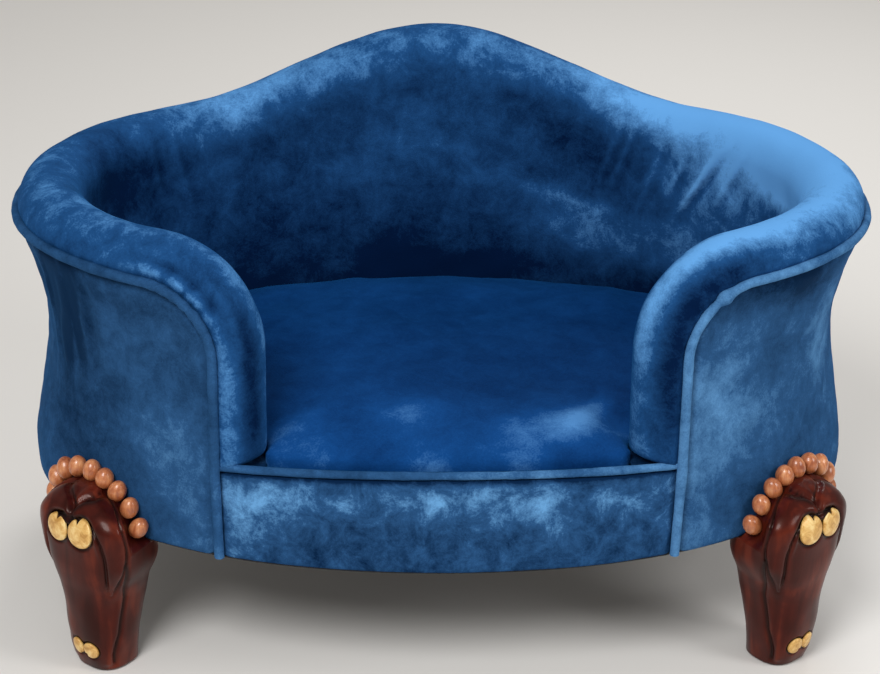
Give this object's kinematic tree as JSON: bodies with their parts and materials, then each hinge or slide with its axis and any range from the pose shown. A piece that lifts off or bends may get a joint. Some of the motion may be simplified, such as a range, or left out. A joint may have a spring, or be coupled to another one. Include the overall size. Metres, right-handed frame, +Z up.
{
  "type": "dog sofa bed",
  "caption": "Oval pet sofa bed with a rolled wall that rises at the back, a low front, a loose seat cushion and carved beaded legs.",
  "frame": {"origin": "on the floor, under the middle of the sofa's bounding box", "axes": "+X to the sofa's right seen from the front, +Y from the open front to the back, +Z up"},
  "size_m": [0.7626, 0.4916, 0.4695],
  "materials": {
    "plywood": "bare",
    "bent_panel": "bare",
    "softwood": "planed",
    "foam": "open foam",
    "velvet": "crushed velvet",
    "dust_cloth": "non-woven",
    "steel": "plain",
    "carved_wood": "gloss varnish",
    "bead_wood": "varnished",
    "gold_inlay": "gold paint",
    "black_plastic": "moulded",
    "zip_cloth": "woven"
  },
  "bodies": {
    "sofa": {"base_board": "plywood", "deck_board": "plywood", "left_floor_rail": "softwood", "centre_floor_rail": "softwood", "right_floor_rail": "softwood", "front_left_block": "softwood", "front_right_block": "softwood", "rear_left_block": "softwood", "rear_right_block": "softwood", "front_board": "plywood", "back_rib": "plywood", "rear_left_rib": "plywood", "rear_right_rib": "plywood", "side_left_rib": "plywood", "side_right_rib": "plywood", "arm_left_rib": "plywood", "arm_right_rib": "plywood", "left_arm_post": "softwood", "right_arm_post": "softwood", "top_rail": "softwood", "inner_panel": "bent_panel", "left_outer_panel": "bent_panel", "back_outer_panel": "bent_panel", "right_outer_panel": "bent_panel", "left_wall_foam": "foam", "back_wall_foam": "foam", "right_wall_foam": "foam", "left_roll_foam": "foam", "back_roll_foam": "foam", "right_roll_foam": "foam", "apron_pad": "foam", "inside_cover": "velvet", "roll_cover": "velvet", "outside_cover": "velvet", "apron_cover": "velvet", "roll_piping": "velvet", "apron_piping": "velvet", "dust_cover": "dust_cloth", "staples": "steel", "front_left_leg": "carved_wood", "front_right_leg": "carved_wood", "rear_left_leg": "carved_wood", "rear_right_leg": "carved_wood", "front_left_beads": "bead_wood", "front_right_beads": "bead_wood", "rear_left_beads": "bead_wood", "rear_right_beads": "bead_wood", "front_left_inlays": "gold_inlay", "front_right_inlays": "gold_inlay", "rear_left_inlays": "gold_inlay", "rear_right_inlays": "gold_inlay", "leg_bolts": "steel", "glides": "black_plastic"},
    "cushion": {"cushion_foam": "foam", "cushion_cover": "velvet", "zip_tape": "zip_cloth"},
    "zip_pull": {"zip_slider": "steel"}
  },
  "joints": [
    {"name": "cushion_lift", "type": "slide", "parent": "sofa", "child": "cushion", "axis": [0, 0, 1], "range_m": [0, 0.3]},
    {"name": "zip_slide", "type": "slide", "parent": "cushion", "child": "zip_pull", "axis": [1, 0, 0], "range_m": [0, 0.342]}
  ]
}
